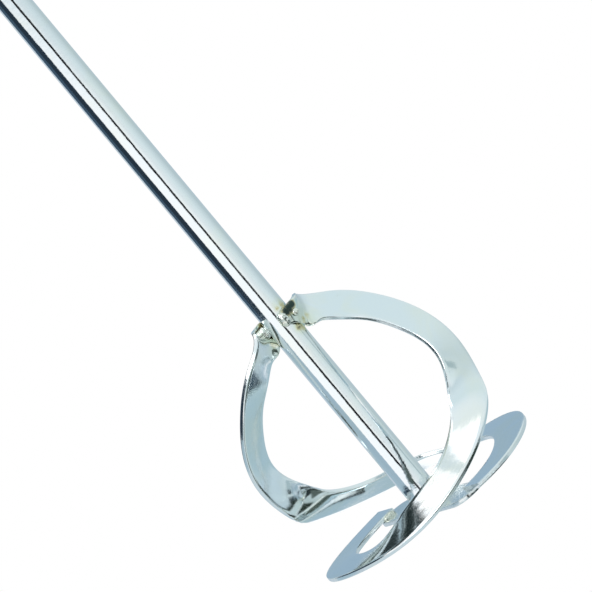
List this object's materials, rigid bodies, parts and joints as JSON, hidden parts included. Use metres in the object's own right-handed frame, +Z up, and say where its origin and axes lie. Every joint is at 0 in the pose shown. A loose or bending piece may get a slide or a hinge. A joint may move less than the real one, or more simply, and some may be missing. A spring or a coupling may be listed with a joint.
{
  "type": "mortar mixing paddle",
  "caption": "Long round rod with a slotted hammer-drill shank, carrying an open mixing head of twisted flat steel ribbons that form a flat ring on a cross strip.",
  "frame": {"origin": "on the rod's axis at the underside of the cross strip, which is the bottom centre of the head", "axes": "+Z up the rod towards the drill; ribbon a's tail lies at 112 degrees from +X about +Z"},
  "size_m": [0.0796, 0.0796, 0.4],
  "materials": {
    "plated_rod": "bright zinc plate on drawn bar",
    "plated_strip": "bright zinc plate, duller where it faces the weld",
    "plated_ribbon": "bright zinc plate, mirror-like with faint yellow passivation",
    "weld_metal": "plated weld bead with a straw-coloured heat tint"
  },
  "bodies": {
    "root": {"drive_rod": "plated_rod", "cross_strip": "plated_strip", "foot_weld": "weld_metal", "ribbon_blade_a": "plated_ribbon", "ribbon_blade_b": "plated_ribbon", "lap_weld_a": "weld_metal", "lap_weld_b": "weld_metal", "tab_weld_a": "weld_metal", "tab_weld_b": "weld_metal"}
  },
  "joints": []
}
